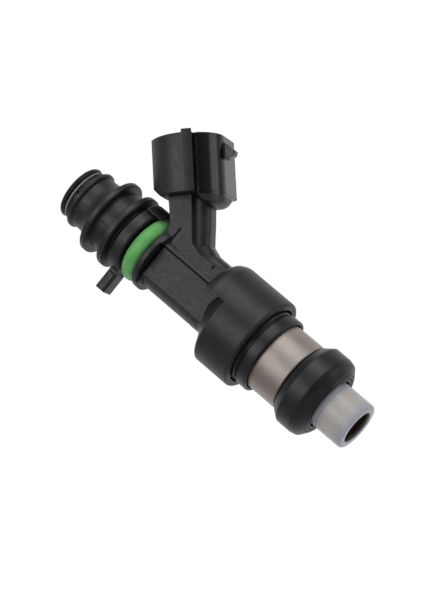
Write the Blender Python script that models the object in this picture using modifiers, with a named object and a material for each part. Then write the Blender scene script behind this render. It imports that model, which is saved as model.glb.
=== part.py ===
"""Top-feed port fuel injector with a two-pin connector, modelled as separate pieces.

Frame: +Z runs along the injector from its nozzle to its inlet, with z = 0 at the
tip. The connector leans towards +X, in the plane y = 0. Everything is in metres.
"""
import math

import bmesh
import bpy

MM = 0.001
GAP = 0.3 * MM                    # clearance between pieces that touch

# ---------------------------------------------------------------- driving dimensions
TOTAL_LENGTH = 72.0 * MM
BODY_RADIUS = 5.7 * MM            # barrel above the coil
COIL_COLLAR_RADIUS = 9.7 * MM
COIL_COLLAR_BOTTOM = 24.0 * MM
COIL_COLLAR_TOP = 32.3 * MM       # where the cove to the barrel starts
COVE_TOP = 35.2 * MM
SHOULDER_TOP = 37.2 * MM          # top of the collar on the connector side
BODY_FLANGE_RADIUS = 6.85 * MM
BODY_FLANGE_BOTTOM = 49.8 * MM
BODY_TOP = 51.2 * MM
FLAT_Y = -4.35 * MM               # the flat on the front of the barrel
FLAT_EDGE_X = 3.0 * MM
SLEEVE_RADIUS = 7.15 * MM         # steel valve body
NOSE_RADIUS = 4.85 * MM
CAP_RADIUS = 4.9 * MM
CAP_TOP = 8.9 * MM
SEAL_RADIUS = 8.6 * MM
FIN_RADIUS = 7.95 * MM
TUBE_RADIUS = 3.0 * MM            # fuel tube inside the barrel
TUBE_HEAD_RADIUS = 4.3 * MM       # fuel tube inside the ribbed sleeve
TIP_BORE_RADIUS = 3.35 * MM       # steel nose below the spray plate

CONNECTOR_TILT = math.radians(46)  # from +Z towards +X
CONNECTOR_ROOT_Z = 39.9 * MM      # where its centre line crosses the injector's axis
SHROUD_BOTTOM = 18.2 * MM         # distances along the connector's centre line
SHROUD_TOP = 29.6 * MM
SHROUD_LEFT = -7.0 * MM           # its flat side towards the barrel
SHROUD_RIGHT = 6.4 * MM           # its flat side with the latch wedge
SHROUD_ARC = 7.9 * MM             # radius of its rounded front
SHROUD_BACK = 6.7 * MM            # its flat back, as a y coordinate
SOCKET_FLOOR = 20.0 * MM
PIN_SPACING = 6.0 * MM
PIN_WIDTH = 1.5 * MM
PIN_OFFSET = -0.5 * MM            # across the connector, towards the barrel
PIN_THICKNESS = 0.64 * MM
BLADE_ROOT = 8.6 * MM             # along the connector, where blade and tail meet
BLADE_END = 26.5 * MM
TAIL_BEND = 6.4 * MM
TAIL_BOTTOM = 32.9 * MM

OUTER_STEPS = 36                  # facets round the outside pieces
INNER_STEPS = 20                  # facets round the small inner pieces


# ------------------------------------------------------------------------- scene setup
for old in list(bpy.data.objects):
    bpy.data.objects.remove(old, do_unlink=True)

PARTS = bpy.data.collections.new("fuel_injector")
CUTTERS = bpy.data.collections.new("cutters")
bpy.context.scene.collection.children.link(PARTS)
bpy.context.scene.collection.children.link(CUTTERS)


def material(name, colour, roughness, metallic=0.0, alpha=1.0):
    """A Principled material of one colour."""
    mat = bpy.data.materials.new(name)
    mat.use_nodes = True
    shader = mat.node_tree.nodes["Principled BSDF"]
    shader.inputs["Base Color"].default_value = (*colour, 1.0)
    shader.inputs["Roughness"].default_value = roughness
    shader.inputs["Metallic"].default_value = metallic
    shader.inputs["Alpha"].default_value = alpha
    mat.diffuse_color = (*colour, alpha)
    return mat


PLASTIC = material("black_plastic", (0.035, 0.035, 0.040), 0.42)
RUBBER = material("black_rubber", (0.022, 0.022, 0.024), 0.55)
GREEN_RUBBER = material("green_rubber", (0.16, 0.50, 0.17), 0.50)
CAP_PLASTIC = material("cap_plastic", (0.62, 0.60, 0.64), 0.30, alpha=0.8)
STEEL = material("steel", (0.56, 0.53, 0.50), 0.32, 1.0)
COPPER = material("copper", (0.70, 0.32, 0.16), 0.35, 1.0)
TINNED = material("tinned_brass", (0.72, 0.70, 0.66), 0.30, 1.0)
BRASS = material("brass", (0.76, 0.58, 0.28), 0.32, 1.0)
NYLON = material("nylon", (0.55, 0.52, 0.45), 0.50)


# ------------------------------------------------------------------------ shape helpers
def add_object(name, mesh, collection, mat=None):
    """Link a mesh as a new object, with round pieces shaded smooth."""
    obj = bpy.data.objects.new(name, mesh)
    collection.objects.link(obj)
    if mat:
        mesh.materials.append(mat)
    mesh.shade_smooth()
    mesh.set_sharp_from_angle(angle=math.radians(32))
    return obj


def hide_tool(obj):
    """Mark an object as a guide for a Boolean and not a piece."""
    obj.hide_render = True
    obj.display_type = "WIRE"
    return obj


def turned(name, profile, mat=None, steps=INNER_STEPS, collection=PARTS):
    """A closed (radius, height) profile turned round the Z axis.

    The profile runs down the outside first and comes back up the bore.
    """
    mesh = bpy.data.meshes.new(name)
    form = bmesh.new()
    points = [form.verts.new((radius, 0.0, height)) for radius, height in profile]
    for here, there in zip(points, points[1:] + points[:1]):
        form.edges.new((here, there))
    form.to_mesh(mesh)
    form.free()
    obj = add_object(name, mesh, collection, mat)
    screw = obj.modifiers.new("turn", "SCREW")
    screw.steps = steps
    screw.render_steps = steps
    screw.use_merge_vertices = True
    screw.merge_threshold = 0.000001
    screw.use_smooth_shade = True
    return obj


def ring(name, inner, outer, low, high, mat=None, steps=INNER_STEPS, bevel=0.0,
         collection=PARTS):
    """A plain ring or tube, with its outer edges chamfered by bevel."""
    if bevel:
        outside = [(outer - bevel, high), (outer, high - bevel),
                   (outer, low + bevel), (outer - bevel, low)]
    else:
        outside = [(outer, high), (outer, low)]
    return turned(name, outside + [(inner, low), (inner, high)], mat, steps, collection)


def arc(centre_u, centre_v, radius, start, end, count):
    """Points on a circular arc, with its angles in degrees."""
    angles = [math.radians(start + (end - start) * i / count) for i in range(count + 1)]
    return [(centre_u + radius * math.cos(a), centre_v + radius * math.sin(a))
            for a in angles]


def prism(name, outline, low, high, collection=CUTTERS, mat=None, plane="XY"):
    """A flat outline extruded from low to high.

    Plane XY extrudes along +Z; plane XZ takes (x, z) points and extrudes along y.
    """
    curve = bpy.data.curves.new(name, "CURVE")
    curve.dimensions = "2D"
    curve.fill_mode = "BOTH"
    curve.extrude = (high - low) / 2
    spline = curve.splines.new("POLY")
    spline.points.add(len(outline) - 1)
    for point, (u, v) in zip(spline.points, outline):
        point.co = (u, v, 0.0, 1.0)
    spline.use_cyclic_u = True
    source = bpy.data.objects.new(name + "_outline", curve)
    CUTTERS.objects.link(source)
    if plane == "XZ":
        source.rotation_euler = (math.radians(90), 0.0, 0.0)
        source.location = (0.0, (low + high) / 2, 0.0)
    else:
        source.location = (0.0, 0.0, (low + high) / 2)
    return curve_to_mesh(source, name, collection, mat)


def curve_to_mesh(source, name, collection, mat=None):
    """Replace a curve object by a closed mesh object in the same place."""
    bpy.context.view_layer.update()
    evaluated = source.evaluated_get(bpy.context.evaluated_depsgraph_get())
    mesh = bpy.data.meshes.new_from_object(evaluated)
    mesh.name = name
    mesh.transform(source.matrix_world)
    form = bmesh.new()
    form.from_mesh(mesh)
    bmesh.ops.remove_doubles(form, verts=form.verts, dist=0.000001)
    bmesh.ops.recalc_face_normals(form, faces=form.faces)
    form.to_mesh(mesh)
    form.free()
    mesh.materials.clear()
    obj = add_object(name, mesh, collection, mat)
    bpy.data.objects.remove(source, do_unlink=True)
    return obj


def block(name, low, high, bevel=0.0, collection=CUTTERS, mat=None):
    """A box between two corners, its edges rounded by bevel."""
    mesh = bpy.data.meshes.new(name)
    form = bmesh.new()
    bmesh.ops.create_cube(form, size=1.0)
    size = [b - a for a, b in zip(low, high)]
    middle = [(a + b) / 2 for a, b in zip(low, high)]
    bmesh.ops.scale(form, vec=size, verts=form.verts)
    bmesh.ops.translate(form, vec=middle, verts=form.verts)
    form.to_mesh(mesh)
    form.free()
    obj = add_object(name, mesh, collection, mat)
    if bevel:
        rounding = obj.modifiers.new("edges", "BEVEL")
        rounding.width = bevel
        rounding.segments = 2
    return obj


def combine(target, tool, operation):
    """Join a tool to a target, cut it away, or keep what they share."""
    hide_tool(tool)
    boolean = target.modifiers.new(tool.name, "BOOLEAN")
    boolean.operation = operation
    boolean.object = tool
    boolean.solver = "EXACT"


def lean(obj):
    """Place an object that was built along +Z on the connector's centre line."""
    obj.rotation_euler = (0.0, CONNECTOR_TILT, 0.0)
    obj.location = (0.0, 0.0, CONNECTOR_ROOT_Z)
    return obj


def from_connector(along, across):
    """World (x, z) of a point in the connector's own plane."""
    sine, cosine = math.sin(CONNECTOR_TILT), math.cos(CONNECTOR_TILT)
    return (along * sine + across * cosine,
            CONNECTOR_ROOT_Z + along * cosine - across * sine)


# --------------------------------------------------------------------- moulded housing
SHROUD_STEP = 2.0 * MM            # across the connector, where its raised plate ends
SHROUD_ARC_X = -0.2 * MM          # centre of the front arc
SHROUD_ARC_Y = 0.6 * MM
RECESS_DEPTH = 0.75 * MM
SHROUD_WALL = 1.3 * MM
ARM_HALF_DEPTH = 4.45 * MM
ARM_CORE_HALF_DEPTH = 3.0 * MM
ARM_CORE_INNER_X = 3.9 * MM       # inside the barrel's wall
COVE_EDGE_X = 2.6 * MM            # the cove ends here and the full collar starts
COIL_BORE_RADIUS = 8.3 * MM
COIL_BORE_TOP = 32.7 * MM
TUBE_BORE_RADIUS = TUBE_RADIUS + GAP
CUT_MARGIN = 3.0 * MM


def arc_across(radius, start_x, end_x, count):
    """Points of the shroud's front arc between two places across the connector."""
    start, end = ((math.degrees(math.asin((x - SHROUD_ARC_X) / radius)) - 90)
                  for x in (start_x, end_x))
    return arc(SHROUD_ARC_X, SHROUD_ARC_Y, radius, start, end, count)


def flat_back(left, right, back, corner):
    """The rest of a connector outline: a flat back with rounded corners."""
    return (arc(right - corner, back - corner, corner, 0, 90, 3)
            + arc(left + corner, back - corner, corner, 90, 180, 3))


def shroud_outline():
    """The connector's section: flat back and sides, and a raised plate in front."""
    corner = 0.25 * MM
    plate = arc_across(SHROUD_ARC, SHROUD_LEFT + corner, SHROUD_STEP, 7)
    side = (SHROUD_LEFT, plate[0][1] + corner)
    recess = arc_across(SHROUD_ARC - RECESS_DEPTH, SHROUD_STEP, SHROUD_RIGHT - MM, 4)
    shoulder = [(SHROUD_RIGHT - 0.3 * MM, recess[-1][1] + 1.1 * MM),
                (SHROUD_RIGHT, recess[-1][1] + 2.1 * MM)]
    return ([side] + plate + recess + shoulder
            + flat_back(SHROUD_LEFT, SHROUD_RIGHT, SHROUD_BACK, 0.9 * MM))


def socket_outline():
    """The opening that the mating plug enters."""
    left, right = SHROUD_LEFT + SHROUD_WALL + 0.1 * MM, SHROUD_RIGHT - SHROUD_WALL
    front = arc_across(SHROUD_ARC - RECESS_DEPTH - SHROUD_WALL, left, right, 6)
    return front + flat_back(left, right, SHROUD_BACK - SHROUD_WALL, 0.8 * MM)


def foot_outline():
    """The rounded mass under the recessed side of the shroud."""
    left, right = SHROUD_STEP + 0.3 * MM, SHROUD_RIGHT - 0.15 * MM
    back, corner = 1.6 * MM, 0.9 * MM
    front = arc_across(SHROUD_ARC - RECESS_DEPTH - 0.12 * MM, left, right - MM, 3)
    return (front + [(right, front[-1][1] + 1.8 * MM)]
            + arc(right - corner, back - corner, corner, 0, 90, 3) + [(left, back)])


def key_outline():
    """The low rib beside the step, which stands up above the rim."""
    left, right = 0.1 * MM, SHROUD_STEP - 0.1 * MM
    return (arc_across(SHROUD_ARC + 0.1 * MM, left, right, 2)
            + arc_across(SHROUD_ARC - 0.5 * MM, right, left, 2))


def arm_plate_outline():
    """The raised plate on the connector's arm and beside the flat, as (x, z)."""
    return [from_connector(SHROUD_BOTTOM + MM, -3.9 * MM),
            from_connector(13.3 * MM, -3.8 * MM),
            (3.1 * MM, 50.4 * MM),
            (FLAT_EDGE_X, 50.3 * MM),
            (FLAT_EDGE_X, 34.0 * MM),
            (7.0 * MM, 34.0 * MM),
            (7.0 * MM, 37.0 * MM),
            (6.2 * MM, 39.6 * MM),
            (5.95 * MM, 43.1 * MM),
            from_connector(8.9 * MM, 0.4 * MM),
            from_connector(SHROUD_BOTTOM + MM, 0.8 * MM)]


def arm_core_outline():
    """The narrower web that carries the arm behind its plates, as (x, z)."""
    return [from_connector(SHROUD_BOTTOM + MM, -3.4 * MM),
            (ARM_CORE_INNER_X, 49.0 * MM),
            (ARM_CORE_INNER_X, 34.0 * MM),
            (7.6 * MM, 34.0 * MM),
            (7.6 * MM, 41.6 * MM),
            from_connector(8.6 * MM, 3.0 * MM),
            from_connector(13.0 * MM, 3.4 * MM),
            from_connector(SHROUD_BOTTOM + MM, 3.8 * MM)]


def latch_outline():
    """The wedge that the plug's latch snaps over, as (x, z)."""
    base = SHROUD_RIGHT - 0.6 * MM
    return [from_connector(28.4 * MM, base),
            from_connector(28.3 * MM, SHROUD_RIGHT),
            from_connector(26.3 * MM, SHROUD_RIGHT + 2.2 * MM),
            from_connector(25.4 * MM, SHROUD_RIGHT + 1.9 * MM),
            from_connector(24.9 * MM, SHROUD_RIGHT),
            from_connector(24.9 * MM, base)]


def blade_outline(extra):
    """Side view of a terminal's straight blade, as (x, z)."""
    left = PIN_OFFSET - PIN_THICKNESS / 2 - extra
    right = PIN_OFFSET + PIN_THICKNESS / 2 + extra
    return [from_connector(BLADE_END + extra, left), from_connector(BLADE_ROOT, left),
            from_connector(BLADE_ROOT, right), from_connector(BLADE_END + extra, right)]


def tail_outline(extra):
    """Side view of the tail that bends down beside the fuel tube, as (x, z)."""
    half = PIN_THICKNESS / 2 - 0.06 * MM + extra
    bottom = TAIL_BOTTOM - extra * 3
    bend_x = from_connector(TAIL_BEND, PIN_OFFSET)[0]
    corner = half * math.tan(CONNECTOR_TILT / 2)
    return [from_connector(BLADE_ROOT + MM, PIN_OFFSET - half),
            from_connector(TAIL_BEND - corner, PIN_OFFSET - half),
            (bend_x - half, bottom),
            (bend_x + half, bottom),
            from_connector(TAIL_BEND + corner, PIN_OFFSET + half),
            from_connector(BLADE_ROOT + MM, PIN_OFFSET + half)]


def terminal(name, side, extra=0.0, collection=PARTS, mat=None):
    """One bent strip, wide at the blade and narrow where it runs down to the coil."""
    inner = PIN_SPACING / 2 - PIN_WIDTH / 2 - extra
    blade = sorted((side * inner, side * (PIN_SPACING / 2 + PIN_WIDTH / 2 + extra)))
    tail = sorted((side * (inner + 0.03 * MM), side * (PIN_SPACING / 2 + extra)))
    obj = prism(name, blade_outline(extra), *blade, collection, mat, plane="XZ")
    foot = prism(name + "_tail", tail_outline(extra), *tail, plane="XZ")
    combine(obj, foot, "UNION")
    return obj


def housing_profile():
    """Section of the moulding round the injector's axis, before the cove is cut."""
    radius = COIL_COLLAR_RADIUS
    rim = arc(radius - 0.9 * MM, COIL_COLLAR_BOTTOM + 0.9 * MM, 0.9 * MM, 0, -90, 3)
    shoulder = [(radius - 1.5 * MM, SHOULDER_TOP),
                (radius - 0.75 * MM, SHOULDER_TOP - 0.3 * MM),
                (radius - 0.25 * MM, SHOULDER_TOP - 0.9 * MM),
                (radius, SHOULDER_TOP - 1.7 * MM)]
    return ([(BODY_FLANGE_RADIUS - 0.2 * MM, BODY_TOP),
             (BODY_FLANGE_RADIUS, BODY_TOP - 0.2 * MM),
             (BODY_FLANGE_RADIUS, BODY_FLANGE_BOTTOM),
             (BODY_RADIUS, BODY_FLANGE_BOTTOM),
             (BODY_RADIUS, SHOULDER_TOP)] + shoulder + rim
            + [(COIL_BORE_RADIUS + 0.3 * MM, COIL_COLLAR_BOTTOM),
               (COIL_BORE_RADIUS, COIL_COLLAR_BOTTOM + 0.3 * MM),
               (COIL_BORE_RADIUS, COIL_BORE_TOP),
               (TUBE_BORE_RADIUS, COIL_BORE_TOP),
               (TUBE_BORE_RADIUS, BODY_TOP)])


def cove_cutter():
    """What is removed above the collar, on the side away from the connector."""
    barrel = BODY_RADIUS + 0.04 * MM
    above, beyond = SHOULDER_TOP + 0.4 * MM, COIL_COLLAR_RADIUS + CUT_MARGIN
    rim = COIL_COLLAR_RADIUS
    cutter = turned("cove_cut", [
        (beyond, above), (beyond, COIL_COLLAR_TOP - 0.6 * MM),
        (rim + 0.25 * MM, COIL_COLLAR_TOP - 0.6 * MM),
        (rim - 0.25 * MM, COIL_COLLAR_TOP),
        (rim - 1.5 * MM, COIL_COLLAR_TOP + 0.7 * MM),
        (rim - 2.8 * MM, COIL_COLLAR_TOP + 1.75 * MM),
        (barrel + 0.2 * MM, COVE_TOP - 0.7 * MM),
        (barrel, COVE_TOP + 0.1 * MM), (barrel, above)],
        steps=OUTER_STEPS, collection=CUTTERS)
    side = block("cove_cut_side", (-20 * MM, -20 * MM, 20 * MM),
                 (COVE_EDGE_X, 20 * MM, 50 * MM))
    combine(cutter, side, "INTERSECT")
    return cutter


def make_housing():
    """The black moulding: coil collar, barrel, connector arm and connector shroud."""
    housing = turned("housing", housing_profile(), PLASTIC, OUTER_STEPS)

    flat = block("flat_cut", (-20 * MM, -20 * MM, COVE_TOP),
                 (FLAT_EDGE_X, FLAT_Y, 50.2 * MM))
    combine(housing, flat, "DIFFERENCE")

    combine(housing, cove_cutter(), "DIFFERENCE")

    plate = prism("arm_plate", arm_plate_outline(), -ARM_HALF_DEPTH, ARM_HALF_DEPTH,
                  plane="XZ")
    web_gap = block("arm_web_gap", (0.0, -ARM_CORE_HALF_DEPTH, 0.0),
                    (30 * MM, ARM_CORE_HALF_DEPTH, 70 * MM))
    combine(plate, web_gap, "DIFFERENCE")
    core = prism("arm_core", arm_core_outline(), -ARM_CORE_HALF_DEPTH - 0.1 * MM,
                 ARM_CORE_HALF_DEPTH + 0.1 * MM, plane="XZ")
    combine(housing, core, "UNION")
    combine(housing, plate, "UNION")

    shroud = lean(prism("shroud", shroud_outline(), SHROUD_BOTTOM, SHROUD_TOP))
    corner = block("shroud_corner", (-5 * MM, -10 * MM, 50 * MM),
                   (9.55 * MM, 10 * MM, 70 * MM))
    combine(shroud, corner, "DIFFERENCE")
    foot = lean(prism("shroud_foot", foot_outline(), 16.1 * MM, 19.5 * MM))
    rounding = foot.modifiers.new("edges", "BEVEL")
    rounding.width = 0.8 * MM
    rounding.angle_limit = math.radians(70)
    key = lean(prism("shroud_key", key_outline(), SHROUD_BOTTOM + 0.3 * MM,
                     SHROUD_TOP + 0.6 * MM))
    latch = prism("shroud_latch", latch_outline(), -1.0 * MM, 1.0 * MM, plane="XZ")
    for solid in (shroud, foot, key, latch):
        combine(housing, solid, "UNION")
    socket = lean(prism("socket_cut", socket_outline(), SOCKET_FLOOR,
                        SHROUD_TOP + CUT_MARGIN))
    combine(housing, socket, "DIFFERENCE")

    for side_sign, label in ((-1, "front"), (1, "rear")):
        slot = terminal("terminal_slot_" + label, side_sign, GAP, CUTTERS)
        combine(housing, slot, "DIFFERENCE")
    return housing


# ------------------------------------------------------------------------ outer pieces
def make_locating_collar():
    """The collar above the green ring, with its tab and a skirt over the ring."""
    collar = ring("locating_collar", TUBE_BORE_RADIUS, 7.1 * MM, 55.1 * MM, 57.4 * MM,
                  PLASTIC, OUTER_STEPS, 0.25 * MM)
    tab = block("collar_tab", (-11.6 * MM, -1.8 * MM, 54.5 * MM),
                (-6.0 * MM, 1.8 * MM, 56.7 * MM), 0.2 * MM)
    skirt = turned("collar_skirt", [
        (7.8 * MM, 57.2 * MM), (7.8 * MM, 53.4 * MM), (7.3 * MM, 53.4 * MM),
        (7.3 * MM, 55.4 * MM), (6.5 * MM, 55.4 * MM), (6.5 * MM, 57.2 * MM)],
        steps=OUTER_STEPS, collection=CUTTERS)
    skirt_side = block("collar_skirt_side", (6.1 * MM, -9 * MM, 50 * MM),
                       (9 * MM, 9 * MM, 60 * MM))
    combine(skirt, skirt_side, "INTERSECT")
    ring_room = ring("collar_ring_cut", 3.0 * MM, 7.25 * MM, 50 * MM, 55.0 * MM,
                     steps=OUTER_STEPS, collection=CUTTERS)
    for solid in (tab, skirt):
        combine(collar, solid, "UNION")
    combine(collar, ring_room, "DIFFERENCE")
    return collar


def make_o_ring(name, middle_radius, height, half_width, half_height, mat, steps):
    """A rubber ring of oval section round the Z axis."""
    count = 10
    profile = []
    for i in range(count):
        angle = math.radians(90 - 360 * i / count)
        profile.append((middle_radius + half_width * math.cos(angle),
                        height + half_height * math.sin(angle)))
    return turned(name, profile, mat, steps)


def make_ribbed_sleeve():
    """The black sleeve on the fuel tube, with one narrow rib and two wide fins."""
    inner = TUBE_HEAD_RADIUS + GAP

    def fin(low, high, root_above, root_below):
        return [(root_above, high + 0.2 * MM),
                (FIN_RADIUS - 0.2 * MM, high),
                (FIN_RADIUS, high - 0.2 * MM),
                (FIN_RADIUS, low + 0.2 * MM),
                (FIN_RADIUS - 0.2 * MM, low),
                (root_below, low - 0.1 * MM)]

    profile = [(5.5 * MM, 69.5 * MM), (6.0 * MM, 69.45 * MM), (6.15 * MM, 69.2 * MM),
               (6.15 * MM, 68.7 * MM), (6.0 * MM, 68.45 * MM), (5.6 * MM, 68.3 * MM),
               (5.6 * MM, 66.2 * MM), (6.3 * MM, 64.9 * MM)]
    profile += fin(62.9 * MM, 64.1 * MM, 6.5 * MM, 6.45 * MM)
    profile += fin(58.3 * MM, 59.6 * MM, 6.6 * MM, 6.3 * MM)
    profile += [(6.3 * MM, 57.8 * MM), (inner, 57.8 * MM), (inner, 69.5 * MM)]
    return turned("ribbed_sleeve", profile, PLASTIC, OUTER_STEPS)


def make_split_ring():
    """A thin plastic back-up ring with a cut through it."""
    split = ring("split_ring", TUBE_HEAD_RADIUS + GAP, 5.2 * MM, 69.8 * MM, 70.15 * MM,
                 NYLON)
    cut = block("split_ring_cut", (-0.2 * MM, -8 * MM, 69 * MM),
                (0.2 * MM, -3 * MM, 71 * MM))
    combine(split, cut, "DIFFERENCE")
    return split


def make_dust_ring():
    """The rubber ring under the collar, with a neck that fills the collar's mouth."""
    inner, outer = SLEEVE_RADIUS + GAP, 8.05 * MM
    profile = [(inner + 0.3 * MM, 24.5 * MM), (inner + 0.3 * MM, 23.2 * MM),
               (outer, 22.85 * MM), (outer, 21.15 * MM),
               (outer - 0.35 * MM, 20.8 * MM), (inner, 20.8 * MM), (inner, 24.5 * MM)]
    return turned("dust_ring", profile, RUBBER, OUTER_STEPS)


def make_lower_seal():
    """The fat rubber ring that seals the injector in the manifold."""
    profile = [(7.4 * MM, 14.0 * MM), (8.2 * MM, 13.0 * MM), (8.5 * MM, 12.4 * MM),
               (SEAL_RADIUS, 12.0 * MM), (SEAL_RADIUS, 9.1 * MM), (8.5 * MM, 8.7 * MM),
               (8.2 * MM, 8.3 * MM), (7.2 * MM, 7.3 * MM), (6.5 * MM, 6.8 * MM),
               (5.6 * MM, 6.7 * MM), (5.25 * MM, 6.9 * MM), (5.25 * MM, 14.0 * MM)]
    return turned("lower_seal", profile, RUBBER, OUTER_STEPS)


def make_nozzle_cap():
    """The translucent cap that shields the spray holes."""
    bore = 3.8 * MM + GAP
    profile = [(CAP_RADIUS, CAP_TOP), (CAP_RADIUS, 1.0 * MM)]
    profile += arc(CAP_RADIUS - 0.8 * MM, 0.8 * MM, 0.8 * MM, 0, -90, 3)
    profile += [(3.55 * MM, 0.0), (3.4 * MM, 0.12 * MM), (3.4 * MM, 0.25 * MM),
                (bore, 0.25 * MM), (bore, CAP_TOP)]
    return turned("nozzle_cap", profile, CAP_PLASTIC, OUTER_STEPS)


def make_valve_body():
    """The steel shell that carries the seals and holds the valve."""
    profile = [(SLEEVE_RADIUS, 24.6 * MM), (SLEEVE_RADIUS, 14.6 * MM),
               (SLEEVE_RADIUS - 0.3 * MM, 14.3 * MM), (NOSE_RADIUS, 14.3 * MM),
               (NOSE_RADIUS, CAP_TOP + GAP), (3.8 * MM, CAP_TOP + GAP),
               (3.8 * MM, 0.25 * MM + GAP), (TIP_BORE_RADIUS, 0.25 * MM + GAP),
               (TIP_BORE_RADIUS, 2.6 * MM), (2.9 * MM, 2.6 * MM), (2.9 * MM, 22.0 * MM),
               (3.5 * MM, 22.0 * MM), (3.5 * MM, 24.6 * MM)]
    return turned("valve_body", profile, STEEL, OUTER_STEPS)


# ------------------------------------------------------------------------ inner pieces
def make_fuel_tube():
    """The inlet tube, wide inside the ribbed sleeve and narrow inside the barrel."""
    profile = [(TUBE_HEAD_RADIUS, TOTAL_LENGTH - 0.2 * MM),
               (TUBE_HEAD_RADIUS, 57.7 * MM), (TUBE_RADIUS, 57.7 * MM),
               (TUBE_RADIUS, 46.3 * MM), (1.9 * MM, 46.3 * MM), (1.9 * MM, 57.0 * MM),
               (3.4 * MM, 58.0 * MM), (3.4 * MM, TOTAL_LENGTH - 0.2 * MM)]
    return turned("fuel_tube", profile, STEEL, OUTER_STEPS)


def make_filter():
    """The fuel filter in the inlet: a brass ring, a plastic cage and its gauze cup."""
    ring("filter_ring", 2.4 * MM, 3.1 * MM, 64.1 * MM, 67.1 * MM, BRASS, bevel=0.15 * MM)
    cage = ring("filter_cage", 2.4 * MM, 3.1 * MM, 62.9 * MM, 63.8 * MM, NYLON)
    foot = ring("filter_cage_foot", 1.0 * MM, 3.1 * MM, 58.9 * MM, 59.7 * MM,
                collection=CUTTERS)
    combine(cage, foot, "UNION")
    for turn in range(4):
        bar = block(f"filter_bar_{turn}", (2.45 * MM, -0.35 * MM, 59.2 * MM),
                    (3.05 * MM, 0.35 * MM, 63.4 * MM))
        bar.rotation_euler = (0.0, 0.0, math.radians(45 + 90 * turn))
        combine(cage, bar, "UNION")
    turned("filter_gauze", [
        (2.1 * MM, 63.8 * MM), (2.1 * MM, 60.0 * MM), (1.2 * MM, 60.0 * MM),
        (1.2 * MM, 60.3 * MM), (1.8 * MM, 60.3 * MM), (1.8 * MM, 63.8 * MM)], TINNED)
    return cage


def make_solenoid():
    """The coil on its bobbin, the steel case round it and the pole piece in it."""
    ring("flux_washer", 4.6 * MM, 8.0 * MM, 24.9 * MM, 25.7 * MM, STEEL)
    ring("spacer_ring", 3.5 * MM, 4.3 * MM, 24.9 * MM, 28.5 * MM, STEEL)
    turned("bobbin", [
        (7.1 * MM, 31.4 * MM), (7.1 * MM, 30.7 * MM), (5.2 * MM, 30.7 * MM),
        (5.2 * MM, 26.7 * MM), (7.1 * MM, 26.7 * MM), (7.1 * MM, 26.0 * MM),
        (4.6 * MM, 26.0 * MM), (4.6 * MM, 31.4 * MM)], NYLON)
    ring("coil_winding", 5.5 * MM, 6.9 * MM, 27.0 * MM, 30.4 * MM, COPPER)
    turned("coil_case", [
        (8.0 * MM, 32.4 * MM), (8.0 * MM, 26.0 * MM), (7.4 * MM, 26.0 * MM),
        (7.4 * MM, 31.7 * MM), (3.5 * MM, 31.7 * MM), (3.5 * MM, 32.4 * MM)], STEEL)
    ring("pole_piece", 1.6 * MM, TUBE_RADIUS, 27.4 * MM, 46.0 * MM, STEEL)
    ring("spring_adjuster", 0.7 * MM, 1.3 * MM, 34.6 * MM, 41.0 * MM, TINNED)


def make_return_spring():
    """The light spring that closes the valve, as a round wire helix."""
    coil_radius, wire_radius = 1.12 * MM, 0.17 * MM
    low, high, turns, per_turn = 26.0 * MM, 34.1 * MM, 7, 8
    curve = bpy.data.curves.new("return_spring", "CURVE")
    curve.dimensions = "3D"
    curve.bevel_depth = wire_radius
    curve.bevel_resolution = 2
    curve.use_fill_caps = True
    spline = curve.splines.new("POLY")
    count = turns * per_turn
    spline.points.add(count)
    for i, point in enumerate(spline.points):
        angle = 2 * math.pi * i / per_turn
        height = low + (high - low) * i / count
        point.co = (coil_radius * math.cos(angle), coil_radius * math.sin(angle),
                    height, 1.0)
    source = bpy.data.objects.new("return_spring_wire", curve)
    CUTTERS.objects.link(source)
    return curve_to_mesh(source, "return_spring", PARTS, STEEL)


def make_valve():
    """The pieces that meter the fuel: armature, needle tube, ball, guide and seat."""
    turned("armature", [
        (3.2 * MM, 27.0 * MM), (3.2 * MM, 22.3 * MM), (1.5 * MM, 22.3 * MM),
        (1.5 * MM, 24.5 * MM), (0.8 * MM, 24.5 * MM), (0.8 * MM, 25.5 * MM),
        (1.7 * MM, 25.5 * MM), (1.7 * MM, 27.0 * MM)], STEEL)
    needle = ring("needle_tube", 0.7 * MM, 1.2 * MM, 8.7 * MM, 24.2 * MM, STEEL)
    for height in (11.5 * MM, 16.0 * MM):
        hole = block(f"needle_hole_{round(height / MM)}",
                     (-3 * MM, -0.3 * MM, height), (3 * MM, 0.3 * MM, height + 0.8 * MM))
        combine(needle, hole, "DIFFERENCE")

    ball_mesh = bpy.data.meshes.new("valve_ball")
    form = bmesh.new()
    bmesh.ops.create_uvsphere(form, u_segments=16, v_segments=10, radius=1.5 * MM)
    form.to_mesh(ball_mesh)
    form.free()
    ball = add_object("valve_ball", ball_mesh, PARTS, STEEL)
    ball.location = (0.0, 0.0, 6.9 * MM)

    guide = ring("valve_guide", 1.85 * MM, 2.6 * MM, 6.5 * MM, 8.6 * MM, STEEL)
    for turn in range(2):
        slot = block(f"guide_slot_{turn}", (-2.2 * MM, -0.4 * MM, 6 * MM),
                     (2.2 * MM, 0.4 * MM, 9 * MM))
        slot.rotation_euler = (0.0, 0.0, math.radians(90 * turn))
        combine(guide, slot, "DIFFERENCE")
    turned("valve_seat", [
        (2.6 * MM, 6.2 * MM), (2.6 * MM, 3.6 * MM), (0.3 * MM, 3.6 * MM),
        (0.3 * MM, 4.66 * MM), (1.84 * MM, 6.2 * MM)], STEEL)

    plate = turned("orifice_plate", [
        (2.6 * MM, 3.3 * MM), (2.6 * MM, 3.0 * MM), (0.12 * MM, 3.0 * MM),
        (0.12 * MM, 3.3 * MM)], COPPER)
    for turn in range(4):
        hole = block(f"spray_hole_{turn}", (0.6 * MM, -0.12 * MM, 2 * MM),
                     (0.85 * MM, 0.12 * MM, 4 * MM))
        hole.rotation_euler = (0.0, 0.0, math.radians(45 + 90 * turn))
        combine(plate, hole, "DIFFERENCE")


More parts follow.
